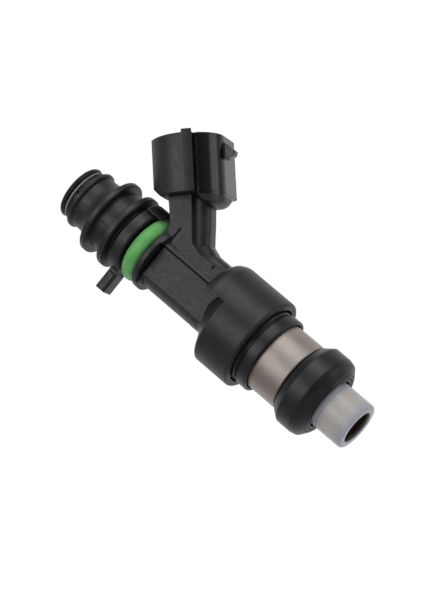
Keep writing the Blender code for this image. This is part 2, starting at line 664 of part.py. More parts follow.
# ---------------------------------------------------------------------- the assembly
make_housing()
for sign, where in ((-1, "front"), (1, "rear")):
    terminal("terminal_" + where, sign, mat=TINNED)
make_nozzle_cap()
make_lower_seal()
make_valve_body()
make_dust_ring()
make_o_ring("green_o_ring", 5.15 * MM, 53.15 * MM, 1.75 * MM, 1.65 * MM, GREEN_RUBBER,
            OUTER_STEPS)
make_locating_collar()
make_ribbed_sleeve()
make_split_ring()
ring("seal_washer", TUBE_HEAD_RADIUS + GAP, 5.35 * MM, 70.45 * MM, 70.65 * MM, STEEL,
     OUTER_STEPS)
make_o_ring("inlet_seal", 5.05 * MM, 71.47 * MM, 0.42 * MM, 0.52 * MM, RUBBER,
            OUTER_STEPS)
make_fuel_tube()
make_filter()
make_solenoid()
make_return_spring()
make_valve()
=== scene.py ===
"""Looks of the fuel injector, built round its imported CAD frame.

Each outer piece is a fine mesh in the place and size of the CAD node that it replaces.
The inner CAD nodes stay and get their finish. Lengths are in metres, the injector's
axis is +Z, and its connector leans towards +X.
"""

import math

import bmesh
import bpy
import numpy as np
from mathutils import Matrix, Vector


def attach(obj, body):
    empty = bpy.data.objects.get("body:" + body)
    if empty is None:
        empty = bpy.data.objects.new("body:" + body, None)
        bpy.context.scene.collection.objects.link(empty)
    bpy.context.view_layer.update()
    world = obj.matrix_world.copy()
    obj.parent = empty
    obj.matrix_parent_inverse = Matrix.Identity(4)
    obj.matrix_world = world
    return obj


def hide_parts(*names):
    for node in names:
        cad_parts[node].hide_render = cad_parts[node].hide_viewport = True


MM = 0.001
STEPS = 160                       # facets round the turned pieces
FINE_STEPS = 192                  # and round the large ones
RELIEF_STEPS = 288                # and round those with relief on them
SHARP_ANGLE = math.radians(38)    # edges sharper than this keep a crease
BACKDROP_LIGHT = 0.9              # light onto the object from the backdrop behind it
ROOM_LIGHT = 0.22                 # and from the sides
DARK_SIDE = 0.12                  # the part of ROOM_LIGHT left on the photographer's side
CAMERA_LENS = 150.0               # mm, on a sensor 36 mm wide
CAMERA_DISTANCE = 467.3 * MM
AIM_HEIGHT = 37.3 * MM            # the camera looks at this height on the injector,
AIM_OFFSET = 0.54 * MM            # and this far from its axis
CAMERA_TURN = math.radians(139.57)     # the axis leans to the left in the view,
CAMERA_RISE = math.radians(19.07)      # its top tips away,
CAMERA_ROLL = math.radians(5.0)        # and the injector is spun a little round it
FLOOR_HEIGHT = -0.17
BODY_VOXEL = 0.09 * MM
COLLAR_VOXEL = 0.08 * MM

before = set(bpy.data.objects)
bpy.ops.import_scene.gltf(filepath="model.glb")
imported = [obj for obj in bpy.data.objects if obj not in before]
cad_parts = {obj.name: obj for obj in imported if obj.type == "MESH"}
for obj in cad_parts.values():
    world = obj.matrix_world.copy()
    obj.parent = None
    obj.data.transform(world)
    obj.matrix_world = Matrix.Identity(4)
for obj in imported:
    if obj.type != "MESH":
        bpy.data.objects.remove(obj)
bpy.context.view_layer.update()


# --------------------------------------------------------------------------- materials
class Nodes:
    """A short way to write one material's nodes."""

    def __init__(self, name):
        self.mat = bpy.data.materials.new(name)
        self.mat.use_nodes = True
        self.tree = self.mat.node_tree
        self.shader = self.tree.nodes["Principled BSDF"]
        self.place = self.add("ShaderNodeTexCoord").outputs["Object"]

    def add(self, kind, **settings):
        node = self.tree.nodes.new(kind)
        for key, value in settings.items():
            setattr(node, key, value)
        return node

    def link(self, source, target):
        self.tree.links.new(source, target)

    def stretched(self, scale):
        """Object coordinates, scaled along each axis."""
        mapping = self.add("ShaderNodeMapping")
        mapping.inputs["Scale"].default_value = scale
        self.link(self.place, mapping.inputs["Vector"])
        return mapping.outputs["Vector"]

    def noise(self, size, detail=3.0, scale=(1, 1, 1), roughness=0.5):
        """Noise whose features are about size across."""
        node = self.add("ShaderNodeTexNoise")
        node.inputs["Scale"].default_value = 1.0 / size
        node.inputs["Detail"].default_value = detail
        node.inputs["Roughness"].default_value = roughness
        self.link(self.stretched(scale), node.inputs["Vector"])
        return node.outputs["Fac"]

    def axes(self):
        """Object coordinates as three numbers."""
        split = self.add("ShaderNodeSeparateXYZ")
        self.link(self.place, split.inputs[0])
        return split.outputs

    def round_the_axis(self, across, along):
        """Noise drawn out round the Z axis, as a lathe leaves it."""
        axes = self.axes()
        angle = self.maths("ARCTAN2", axes["Y"], axes["X"])
        spread = self.maths("MULTIPLY", angle, across)
        height = self.maths("MULTIPLY", axes["Z"], 1.0 / along)
        joined = self.add("ShaderNodeCombineXYZ")
        self.link(spread, joined.inputs["X"])
        self.link(height, joined.inputs["Z"])
        node = self.add("ShaderNodeTexNoise")
        node.inputs["Scale"].default_value = 1.0
        node.inputs["Detail"].default_value = 4.0
        self.link(joined.outputs[0], node.inputs["Vector"])
        return node.outputs["Fac"]

    def maths(self, operation, first, second):
        """One sum on two sockets, or on a socket and a number."""
        node = self.add("ShaderNodeMath", operation=operation)
        for socket, value in zip(node.inputs, (first, second)):
            if isinstance(value, float):
                socket.default_value = value
            else:
                self.link(value, socket)
        return node.outputs[0]

    def spread(self, value, low, high, out_low, out_high):
        """Map a value's range to another one."""
        node = self.add("ShaderNodeMapRange")
        for socket, number in zip(node.inputs[1:5], (low, high, out_low, out_high)):
            socket.default_value = number
        self.link(value, node.inputs["Value"])
        return node.outputs["Result"]

    def mix(self, factor, first, second):
        """Mix two colours, given as colours or sockets."""
        node = self.add("ShaderNodeMix", data_type="RGBA")
        self.link(factor, node.inputs["Factor"])
        for socket, value in ((node.inputs[6], first), (node.inputs[7], second)):
            if isinstance(value, tuple):
                socket.default_value = (*value, 1.0)
            else:
                self.link(value, socket)
        return node.outputs[2]

    def colour(self, value):
        self.link(value, self.shader.inputs["Base Color"])

    def roughness(self, value):
        self.link(value, self.shader.inputs["Roughness"])

    def bump(self, height, depth, strength=1.0, under=None):
        """Add relief of about that depth."""
        node = self.add("ShaderNodeBump")
        node.inputs["Distance"].default_value = depth
        node.inputs["Strength"].default_value = strength
        self.link(height, node.inputs["Height"])
        if under is not None:
            self.link(under, node.inputs["Normal"])
        self.link(node.outputs["Normal"], self.shader.inputs["Normal"])
        return node.outputs["Normal"]

    def painted_edge_highlight(self, base, edge):
        """Lighten the sharp edges by their pointiness: a painted highlight along the edges."""
        sharpness = self.add("ShaderNodeNewGeometry").outputs["Pointiness"]
        return self.mix(self.spread(sharpness, 0.52, 0.62, 0.0, 0.6), base, edge)


def moulded_plastic(name, base, light, rough, grain=1.0):
    """Glass-filled nylon: satin, with flow marks, fine grain and edges lightened as a painted
    highlight.
    """
    n = Nodes(name)
    clouds = n.spread(n.noise(3.5 * MM, 4.0), 0.35, 0.68, 0.0, 1.0)
    fibres = n.noise(0.35 * MM, 4.0, (1, 1, 0.35))
    specks = n.spread(n.noise(0.16 * MM, 1.0), 0.70, 0.78, 0.0, 0.22)
    body = n.mix(clouds, base, light)
    body = n.mix(specks, body, tuple(2.6 * c for c in light))
    # The edges are lightened by pointiness: painted highlight.
    n.colour(n.painted_edge_highlight(body, tuple(1.9 * c for c in light)))
    n.roughness(n.spread(fibres, 0.3, 0.7, rough - 0.05, rough + 0.08))
    low = n.bump(n.noise(2.4 * MM, 1.0), 0.008 * MM, 0.35)
    n.bump(n.noise(0.13 * MM, 3.0), 0.006 * MM * grain, 0.8, low)
    n.shader.inputs["Specular IOR Level"].default_value = 0.5
    return n.mat


def rubber(name, base, light, rough, sheen=0.0):
    """Moulded rubber with a faint bloom, dust and a fine surface."""
    n = Nodes(name)
    bloom = n.spread(n.noise(2.2 * MM, 4.0), 0.38, 0.70, 0.0, 1.0)
    dust = n.spread(n.noise(0.12 * MM, 2.0), 0.68, 0.78, 0.0, 0.25)
    body = n.mix(bloom, base, light)
    n.colour(n.mix(dust, body, tuple(min(1.0, 2.0 * c + 0.02) for c in light)))
    n.roughness(n.spread(bloom, 0.0, 1.0, rough, rough + 0.1))
    low = n.bump(n.round_the_axis(1.5, 0.5 * MM), 0.010 * MM, 0.4)
    n.bump(n.noise(0.10 * MM, 3.0), 0.004 * MM, 0.7, low)
    n.shader.inputs["Sheen Weight"].default_value = sheen
    return n.mat


def turned_metal(name, base, stain, rough):
    """Bare metal with turning lines, faint stains and handling marks."""
    n = Nodes(name)
    rings = n.round_the_axis(0.7, 0.05 * MM)
    stains = n.spread(n.noise(2.6 * MM, 5.0, (1, 1, 0.5), 0.6), 0.36, 0.66, 0.0, 0.5)
    marks = n.spread(n.noise(0.8 * MM, 3.0, (1, 1, 0.25)), 0.55, 0.75, 0.0, 0.35)
    body = n.mix(stains, base, stain)
    n.colour(n.mix(marks, body, tuple(0.8 * c for c in base)))
    n.roughness(n.spread(rings, 0.3, 0.7, rough - 0.05, rough + 0.1))
    n.bump(rings, 0.004 * MM, 0.8)
    n.shader.inputs["Metallic"].default_value = 1.0
    return n.mat


def translucent_cap():
    """Milky nylon, warmer between its lip and its step, where steel lies behind it."""
    n = Nodes("cap_nylon")
    flow = n.spread(n.noise(2.4 * MM, 3.0, (1, 1, 0.6)), 0.35, 0.68, 0.0, 1.0)
    height = n.axes()["Z"]
    above_lip = n.spread(height, 0.6 * MM, 1.9 * MM, 0.0, 1.0)
    below_step = n.spread(height, 5.0 * MM, 6.2 * MM, 1.0, 0.0)
    steel_behind = n.maths("MULTIPLY", above_lip, below_step)
    warm = n.mix(flow, (0.60, 0.565, 0.54), (0.68, 0.64, 0.60))
    n.colour(n.mix(steel_behind, (0.53, 0.545, 0.60), warm))
    n.roughness(n.spread(n.noise(0.5 * MM, 3.0), 0.3, 0.7, 0.26, 0.38))
    low = n.bump(n.noise(1.4 * MM, 2.0), 0.012 * MM, 0.5)
    n.bump(n.noise(0.15 * MM, 2.0), 0.003 * MM, 0.6, low)
    shader = n.shader.inputs
    shader["Subsurface Weight"].default_value = 0.6
    shader["Subsurface Radius"].default_value = (1.0, 0.85, 0.8)
    shader["Subsurface Scale"].default_value = 0.9 * MM
    shader["Transmission Weight"].default_value = 0.18
    shader["IOR"].default_value = 1.53
    return n.mat


def pale_floor():
    """A plain pale studio floor."""
    n = Nodes("studio_floor")
    n.colour(n.mix(n.noise(0.4), (0.88, 0.88, 0.88), (0.92, 0.92, 0.92)))
    n.shader.inputs["Roughness"].default_value = 0.8
    return n.mat


PLASTIC = moulded_plastic("black_nylon", (0.0150, 0.0145, 0.0175),
                          (0.0215, 0.0210, 0.0245), 0.42)
# Glossier than black_nylon, which is real, and far darker in colour, which is painted shade in
# the shroud's recess.
GLOSSY_SHADED_PLASTIC = moulded_plastic("polished_nylon_painted_shade", (0.0035, 0.0035, 0.0037),
                                (0.0060, 0.0060, 0.0063), 0.20, 0.3)
RUBBER = rubber("black_rubber", (0.0110, 0.0110, 0.0122), (0.0175, 0.0180, 0.0195), 0.36)
# Real rubber on the inlet rings; on the fuel tube's outer wall the same colour is painted shade.
DARK_RUBBER_AND_SHADE = rubber("inlet_rubber_and_shade", (0.007, 0.010, 0.009), (0.013, 0.018, 0.016), 0.42)
GREEN_RUBBER = rubber("green_rubber", (0.130, 0.470, 0.115), (0.180, 0.540, 0.165), 0.40,
                      0.3)
CAP_NYLON = translucent_cap()
STEEL = turned_metal("bare_steel", (0.56, 0.50, 0.455), (0.42, 0.355, 0.305), 0.50)
BRIGHT_STEEL = turned_metal("bright_steel", (0.66, 0.65, 0.62), (0.55, 0.52, 0.48), 0.22)
WASHER = moulded_plastic("pale_washer", (0.30, 0.31, 0.30), (0.42, 0.43, 0.42), 0.45)
DARK_STEEL = turned_metal("oiled_steel", (0.26, 0.21, 0.17), (0.17, 0.11, 0.07), 0.34)
COPPER = turned_metal("copper", (0.62, 0.27, 0.12), (0.36, 0.15, 0.07), 0.30)
TINNED = turned_metal("tinned_brass", (0.70, 0.68, 0.63), (0.60, 0.54, 0.44), 0.26)
BRASS = turned_metal("brass", (0.70, 0.50, 0.20), (0.52, 0.34, 0.12), 0.28)
NATURAL_NYLON = moulded_plastic("natural_nylon", (0.42, 0.39, 0.32), (0.52, 0.48, 0.40),
                                0.42)


# ----------------------------------------------------------------------- shape helpers
def new_object(name, form, mat=None):
    """A bmesh as a new smooth-shaded object."""
    bmesh.ops.recalc_face_normals(form, faces=form.faces)
    mesh = bpy.data.meshes.new(name)
    form.to_mesh(mesh)
    form.free()
    if mat:
        mesh.materials.append(mat)
    mesh.shade_smooth()
    mesh.set_sharp_from_angle(angle=SHARP_ANGLE)
    obj = bpy.data.objects.new(name, mesh)
    bpy.context.scene.collection.objects.link(obj)
    return obj


def rounded(points, radius, count=4):
    """A closed profile with its corners rounded.

    A point is (u, v), or (u, v, its own radius).
    """
    result = []
    total = len(points)
    for i, point in enumerate(points):
        corner = Vector(point[:2])
        reach = point[2] if len(point) > 2 else radius
        before = Vector(points[i - 1][:2]) - corner
        after = Vector(points[(i + 1) % total][:2]) - corner
        reach = min(reach, 0.47 * before.length, 0.47 * after.length)
        if reach < 0.004 * MM:
            result.append(tuple(corner))
            continue
        start = corner + before.normalized() * reach
        end = corner + after.normalized() * reach
        for k in range(count + 1):
            t = k / count
            result.append(tuple(start * (1 - t) ** 2 + corner * 2 * t * (1 - t)
                                + end * t ** 2))
    return result


def lathe(name, profile, mat=None, steps=STEPS, relief=None):
    """A closed (radius, height) profile turned round Z; relief adds to its radius."""
    form = bmesh.new()
    columns = []
    for k in range(steps):
        angle = 2 * math.pi * k / steps
        column = []
        for radius, height in profile:
            r = radius + (relief(angle, radius) if relief else 0.0)
            column.append(form.verts.new((r * math.cos(angle), r * math.sin(angle),
                                          height)))
        columns.append(column)
    count = len(profile)
    for here, there in zip(columns, columns[1:] + columns[:1]):
        for i in range(count):
            j = (i + 1) % count
            form.faces.new((here[i], here[j], there[j], there[i]))
    return new_object(name, form, mat)


def arc(centre_u, centre_v, radius, start, end, count):
    """Points on a circular arc, with its angles in degrees."""
    angles = [math.radians(start + (end - start) * i / count) for i in range(count + 1)]
    return [(centre_u + radius * math.cos(a), centre_v + radius * math.sin(a))
            for a in angles]


def prism(name, outline, low, high, plane="XY"):
    """An outline extruded along +Z, or an (x, z) outline extruded along y."""
    form = bmesh.new()
    if plane == "XY":
        corners = [form.verts.new((u, v, low)) for u, v in outline]
        move = (0.0, 0.0, high - low)
    else:
        corners = [form.verts.new((u, low, v)) for u, v in outline]
        move = (0.0, high - low, 0.0)
    face = form.faces.new(corners)
    grown = bmesh.ops.extrude_face_region(form, geom=[face])["geom"]
    bmesh.ops.translate(form, vec=move,
                        verts=[v for v in grown if isinstance(v, bmesh.types.BMVert)])
    return new_object(name, form)


def block(name, low, high, bevel=0.0):
    """A box between two corners; bevel rounds its edges."""
    form = bmesh.new()
    bmesh.ops.create_cube(form, size=1.0)
    bmesh.ops.scale(form, vec=[b - a for a, b in zip(low, high)], verts=form.verts)
    bmesh.ops.translate(form, vec=[(a + b) / 2 for a, b in zip(low, high)],
                        verts=form.verts)
    if bevel:
        bmesh.ops.bevel(form, geom=form.edges[:], offset=bevel, segments=5, profile=0.5,
                        affect="EDGES")
    return new_object(name, form)


def ball(name, centre, radii):
    """An ellipsoid."""
    form = bmesh.new()
    bmesh.ops.create_uvsphere(form, u_segments=96, v_segments=64, radius=1.0)
    bmesh.ops.scale(form, vec=radii, verts=form.verts)
    bmesh.ops.translate(form, vec=centre, verts=form.verts)
    return new_object(name, form)


def moved(obj, matrix):
    """Move an object's mesh, so that the object stays at the origin."""
    obj.data.transform(matrix)
    return obj


def baked(obj):
    """Apply the modifiers."""
    bpy.context.view_layer.update()
    evaluated = obj.evaluated_get(bpy.context.evaluated_depsgraph_get())
    mesh = bpy.data.meshes.new_from_object(evaluated)
    old = obj.data
    obj.modifiers.clear()
    obj.data = mesh
    bpy.data.meshes.remove(old)
    return obj


def combine(target, tools, operation):
    """Cut tools away from a target, keep what they share, or join them to it."""
    for tool in tools:
        boolean = target.modifiers.new(tool.name, "BOOLEAN")
        boolean.operation = operation
        boolean.object = tool
        boolean.solver = "EXACT"
    baked(target)
    for tool in tools:
        bpy.data.objects.remove(tool, do_unlink=True)
    return target


def softened(obj, width):
    """Round an object's sharp edges."""
    rounding = obj.modifiers.new("edges", "BEVEL")
    rounding.width = width
    rounding.segments = 6
    rounding.angle_limit = math.radians(60)
    return baked(obj)


def joined(name, objs, mat=None):
    """Several meshes as one object."""
    form = bmesh.new()
    for obj in objs:
        form.from_mesh(obj.data)
        bpy.data.objects.remove(obj, do_unlink=True)
    return new_object(name, form, mat)


def fused(obj, voxel, mat):
    """Grow overlapping shells into one surface with softly rounded edges."""
    remesh = obj.modifiers.new("fuse", "REMESH")
    remesh.mode = "VOXEL"
    remesh.voxel_size = voxel
    soften = obj.modifiers.new("soften", "SMOOTH")
    soften.factor = 0.5
    soften.iterations = 3
    baked(obj)
    obj.data.materials.clear()
    obj.data.materials.append(mat)
    obj.data.shade_smooth()
    return obj


def show(obj, body, nodes):
    """Let a piece stand for CAD nodes and ride on their body."""
    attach(obj, body)
    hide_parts(*nodes)
    return obj


# ------------------------------------------------------------------ the moulded housing
BODY_RADIUS = 5.7 * MM
COLLAR_RADIUS = 9.7 * MM
COLLAR_BOTTOM = 24.0 * MM
COLLAR_TOP = 32.3 * MM
SHOULDER_TOP = 37.2 * MM
FLANGE_RADIUS = 6.85 * MM
FLANGE_BOTTOM = 49.8 * MM
BODY_TOP = 51.2 * MM
FLAT_Y = -4.35 * MM
FLAT_EDGE_X = 3.0 * MM
COVE_EDGE_X = 2.6 * MM
TUBE_BORE = 3.3 * MM
COIL_BORE = 8.3 * MM

TILT = math.radians(46)
ROOT_Z = 39.9 * MM
SHROUD_BOTTOM = 18.2 * MM
SHROUD_TOP = 29.6 * MM
SHROUD_LEFT = -7.0 * MM
SHROUD_RIGHT = 6.4 * MM
SHROUD_ARC = 7.9 * MM
SHROUD_BACK = 6.7 * MM
SHROUD_STEP = 2.0 * MM
ARC_X = -0.2 * MM
ARC_Y = 0.6 * MM
RECESS = 0.75 * MM
WALL = 1.3 * MM
SOCKET_FLOOR = 20.0 * MM
ARM_HALF = 4.45 * MM
CORE_HALF = 3.0 * MM
LEAN = Matrix.Translation((0.0, 0.0, ROOT_Z)) @ Matrix.Rotation(TILT, 4, "Y")


def from_connector(along, across):
    """World (x, z) of a point in the connector's own plane."""
    sine, cosine = math.sin(TILT), math.cos(TILT)
    return (along * sine + across * cosine, ROOT_Z + along * cosine - across * sine)


def arc_across(radius, start_x, end_x, count):
    """Points of the shroud's front arc between two places across the connector."""
    start, end = ((math.degrees(math.asin((x - ARC_X) / radius)) - 90)
                  for x in (start_x, end_x))
    return arc(ARC_X, ARC_Y, radius, start, end, count)


def flat_back(left, right, back, corner):
    """The rest of a connector outline: a flat back with rounded corners."""
    return (arc(right - corner, back - corner, corner, 0, 90, 8)
            + arc(left + corner, back - corner, corner, 90, 180, 8))


def rounded_side(inset):
    """The recessed side's outline, from the step round to the flat right side."""
    recess = arc_across(SHROUD_ARC - RECESS - inset, SHROUD_STEP + inset, 4.2 * MM, 12)
    start, before = Vector(recess[-1]), Vector(recess[-2])
    end = Vector((SHROUD_RIGHT - inset, -0.6 * MM))
    leave = start + (start - before).normalized() * 1.3 * MM
    arrive = end - Vector((0.0, 2.0 * MM))
    bend = []
    count = 14
    for k in range(1, count + 1):
        t = k / count
        bend.append(tuple(start * (1 - t) ** 3 + leave * 3 * t * (1 - t) ** 2
                          + arrive * 3 * t ** 2 * (1 - t) + end * t ** 3))
    return recess + bend


def shroud_outline():
    """Section of the shroud: the full plate, the recessed side and the flat back."""
    corner = 0.25 * MM
    plate = arc_across(SHROUD_ARC, SHROUD_LEFT + corner, SHROUD_STEP, 30)
    side = (SHROUD_LEFT, plate[0][1] + corner)
    return ([side] + plate + rounded_side(0.0)
            + flat_back(SHROUD_LEFT, SHROUD_RIGHT, SHROUD_BACK, 0.9 * MM))


def socket_outline():
    """Section of the socket for the plug, a wall's thickness inside the shroud."""
    left, right = SHROUD_LEFT + WALL + 0.1 * MM, SHROUD_RIGHT - WALL
    front = arc_across(SHROUD_ARC - RECESS - WALL, left, right, 24)
    return front + flat_back(left, right, SHROUD_BACK - WALL, 0.8 * MM)


def foot_outline():
    """Section of the rounded mass under the recessed side of the shroud."""
    right, back = SHROUD_RIGHT - 0.1 * MM, SHROUD_BACK - 0.3 * MM
    return rounded_side(0.1 * MM) + [(right, back), (SHROUD_STEP + 0.1 * MM, back)]


def key_outline():
    """The low rib beside the step, which stands up above the rim."""
    left, right = 0.1 * MM, SHROUD_STEP - 0.05 * MM
    return (arc_across(SHROUD_ARC + 0.04 * MM, left, right, 6)
            + arc_across(SHROUD_ARC - 0.5 * MM, right, left, 6))


def arm_plate_outline():
    """The raised plate on the arm and beside the flat, as (x, z)."""
    return [from_connector(SHROUD_BOTTOM + MM, -3.9 * MM),
            from_connector(13.3 * MM, -3.8 * MM),
            (3.1 * MM, 50.4 * MM),
            (FLAT_EDGE_X, 50.3 * MM),
            (FLAT_EDGE_X, 34.0 * MM),
            (7.0 * MM, 34.0 * MM),
            (7.0 * MM, 37.0 * MM),
            (6.2 * MM, 39.6 * MM),
            (5.95 * MM, 43.1 * MM),
            from_connector(8.9 * MM, 0.4 * MM),
            from_connector(SHROUD_BOTTOM + MM, 0.8 * MM)]


def arm_core_outline():
    """The web that carries the arm behind its plates, as (x, z)."""
    return [from_connector(SHROUD_BOTTOM + MM, -3.4 * MM),
            (3.9 * MM, 49.0 * MM),
            (3.9 * MM, 34.0 * MM),
            (7.6 * MM, 34.0 * MM),
            (7.6 * MM, 41.6 * MM),
            from_connector(8.6 * MM, 3.0 * MM),
            from_connector(13.0 * MM, 3.4 * MM),
            from_connector(SHROUD_BOTTOM + MM, 3.8 * MM)]


def latch_outline():
    """The wedge that a plug's latch snaps over, as (x, z)."""
    base = SHROUD_RIGHT - 0.6 * MM
    return [from_connector(28.4 * MM, base),
            from_connector(28.3 * MM, SHROUD_RIGHT),
            from_connector(26.3 * MM, SHROUD_RIGHT + 2.2 * MM),
            from_connector(25.4 * MM, SHROUD_RIGHT + 1.9 * MM),
            from_connector(24.9 * MM, SHROUD_RIGHT),
            from_connector(24.9 * MM, base)]


def barrel_with_collar():
    """The turned part of the moulding, with the cove, the flat and its seam cut."""
    r = COLLAR_RADIUS
    profile = [(TUBE_BORE, BODY_TOP), (FLANGE_RADIUS, BODY_TOP, 0.2 * MM),
               (FLANGE_RADIUS, FLANGE_BOTTOM, 0.1 * MM), (BODY_RADIUS, FLANGE_BOTTOM),
               (BODY_RADIUS, SHOULDER_TOP), (r - 0.9 * MM, SHOULDER_TOP, 0.8 * MM),
               (r, SHOULDER_TOP - 1.7 * MM, 1.2 * MM), (r, COLLAR_BOTTOM, 0.9 * MM),
               (COIL_BORE, COLLAR_BOTTOM, 0.2 * MM), (COIL_BORE, 32.7 * MM),
               (TUBE_BORE, 32.7 * MM)]
    core = lathe("core", rounded(profile, 0.05 * MM, 8), steps=FINE_STEPS)
    above, beyond = SHOULDER_TOP + 0.4 * MM, r + 3 * MM
    slope = [(5.74 * MM, 34.95 * MM, 0.35 * MM), (6.1 * MM, 34.42 * MM, 0.4 * MM),
             (6.9 * MM, 33.8 * MM, MM), (8.2 * MM, 33.0 * MM, MM),
             (r - 0.25 * MM, COLLAR_TOP, 0.35 * MM),
             (r + 0.25 * MM, COLLAR_TOP - 0.6 * MM, 0.05 * MM)]
    cove = lathe("cove", rounded([(5.74 * MM, above)] + slope + [
        (beyond, COLLAR_TOP - 0.6 * MM), (beyond, above)], 0.0, 6), steps=FINE_STEPS)
    side = block("cove_side", (-20 * MM, -20 * MM, 20 * MM), (COVE_EDGE_X, 20 * MM, 50 * MM))
    combine(cove, [side], "INTERSECT")
    flat = block("flat", (-20 * MM, -20 * MM, 33 * MM), (FLAT_EDGE_X, FLAT_Y, 50.2 * MM))
    cone = lathe("cone", rounded([
        (0.5 * MM, 36.6 * MM), (3.6 * MM, 36.6 * MM), (4.35 * MM, 35.74 * MM, 0.2 * MM),
        (5.05 * MM, 35.0 * MM, 0.3 * MM), (5.74 * MM, 34.6 * MM, 0.3 * MM),
        (6.5 * MM, 34.3 * MM), (11 * MM, 32.9 * MM), (11 * MM, 31 * MM), (0.5 * MM, 31 * MM)],
        0.0, 5), steps=FINE_STEPS)
    beside = block("beside_cove", (COVE_EDGE_X, -21 * MM, 32 * MM), (4 * MM, 0.0, SHOULDER_TOP))
    combine(flat, [cone, beside], "DIFFERENCE")
    seam = block("seam", (FLAT_EDGE_X - 0.24 * MM, -6 * MM, 37.1 * MM),
                 (FLAT_EDGE_X, FLAT_Y + 0.35 * MM, 50.2 * MM))
    gap = block("gap", (-8 * MM, -8 * MM, FLANGE_BOTTOM + 0.05 * MM),
                (FLAT_EDGE_X, FLAT_Y + 0.9 * MM, 50.2 * MM))
    return combine(core, [cove, flat, seam, gap], "DIFFERENCE")


def marked_plate():
    """The raised plate in front of the arm, with the mould's insert lines in it."""
    plate = prism("plate_front", arm_plate_outline(), -ARM_HALF, -CORE_HALF + 0.2 * MM,
                  plane="XZ")
    depth = -ARM_HALF + 0.36 * MM
    across = block("mark_across", (3.6 * MM, -6 * MM, 49.28 * MM),
                   (7.45 * MM, depth, 49.54 * MM))
    down = block("mark_down", (3.6 * MM, -6 * MM, 47.4 * MM),
                 (3.9 * MM, depth + 0.3 * MM, 49.5 * MM))
    gate = block("mark_gate", (5.3 * MM, -6 * MM, 39.45 * MM),
                 (6.15 * MM, depth, 39.75 * MM))
    return combine(plate, [across, down, gate], "DIFFERENCE")


def shroud_parts():
    """The connector shroud with its socket, foot, key and latch wedge."""
    shroud = softened(prism("shroud", shroud_outline(), SHROUD_BOTTOM, SHROUD_TOP),
                      0.4 * MM)
    socket = prism("socket", socket_outline(), SOCKET_FLOOR, SHROUD_TOP + 3 * MM)
    crevice = block("crevice", (SHROUD_STEP + 0.02 * MM, -9 * MM, SHROUD_BOTTOM - MM),
                    (SHROUD_STEP + 0.55 * MM, -5.6 * MM, SHROUD_TOP + MM))
    combine(shroud, [socket, crevice], "DIFFERENCE")
    moved(shroud, LEAN)
    corner = block("corner", (-5 * MM, -10 * MM, 50 * MM), (9.55 * MM, 10 * MM, 70 * MM))
    combine(shroud, [corner], "DIFFERENCE")
    foot = moved(prism("foot", foot_outline(), 15.0 * MM, 19.5 * MM), LEAN)
    swell = moved(ball("swell", (4.1 * MM, -0.6 * MM, 18.7 * MM),
                       (2.85 * MM, 6.9 * MM, 3.0 * MM)), LEAN)
    combine(foot, [swell], "INTERSECT")
    key = moved(prism("key", key_outline(), SHROUD_BOTTOM + 0.1 * MM,
                      SHROUD_TOP + 0.6 * MM), LEAN)
    latch = prism("latch", latch_outline(), -1.0 * MM, 1.0 * MM, plane="XZ")
    return [shroud, foot, key, latch]


def polish_and_shade_recess(body):
    """Give the recessed side of the shroud its glossier finish, with a darker base colour painted
    in as shade.
    """
    mesh = body.data
    # The recess faces take the darker glossy material: painted shade there.
    mesh.materials.append(GLOSSY_SHADED_PLASTIC)
    centres = np.empty(len(mesh.polygons) * 3)
    mesh.polygons.foreach_get("center", centres)
    centres = centres.reshape(-1, 3)
    x, y, z = centres[:, 0], centres[:, 1], centres[:, 2] - ROOT_Z
    across = x * math.cos(TILT) - z * math.sin(TILT)
    along = x * math.sin(TILT) + z * math.cos(TILT)
    radius = np.hypot(across - ARC_X, y - ARC_Y)
    outside = (radius > SHROUD_ARC - RECESS - 1.1 * MM) | (across > SHROUD_RIGHT - 0.6 * MM)
    recess = ((across > SHROUD_STEP) & (y < 5.6 * MM) & (along > SHROUD_BOTTOM - 0.4 * MM)
              & outside)
    mesh.polygons.foreach_set("material_index", recess.astype(np.int32))
    mesh.update()


def moulded_body():
    """All of the housing, grown together as one moulding."""
    plate_back = prism("plate_back", arm_plate_outline(), CORE_HALF - 0.2 * MM, ARM_HALF,
                       plane="XZ")
    web = prism("web", arm_core_outline(), -CORE_HALF - 0.05 * MM, CORE_HALF + 0.05 * MM,
                plane="XZ")
    softened(web, 1.9 * MM)
    solids = [barrel_with_collar(), marked_plate(), plate_back, web] + shroud_parts()
    body = joined("moulded_body", solids)
    fused(body, BODY_VOXEL, PLASTIC)
    polish_and_shade_recess(body)
    return show(body, "injector", ["housing"])


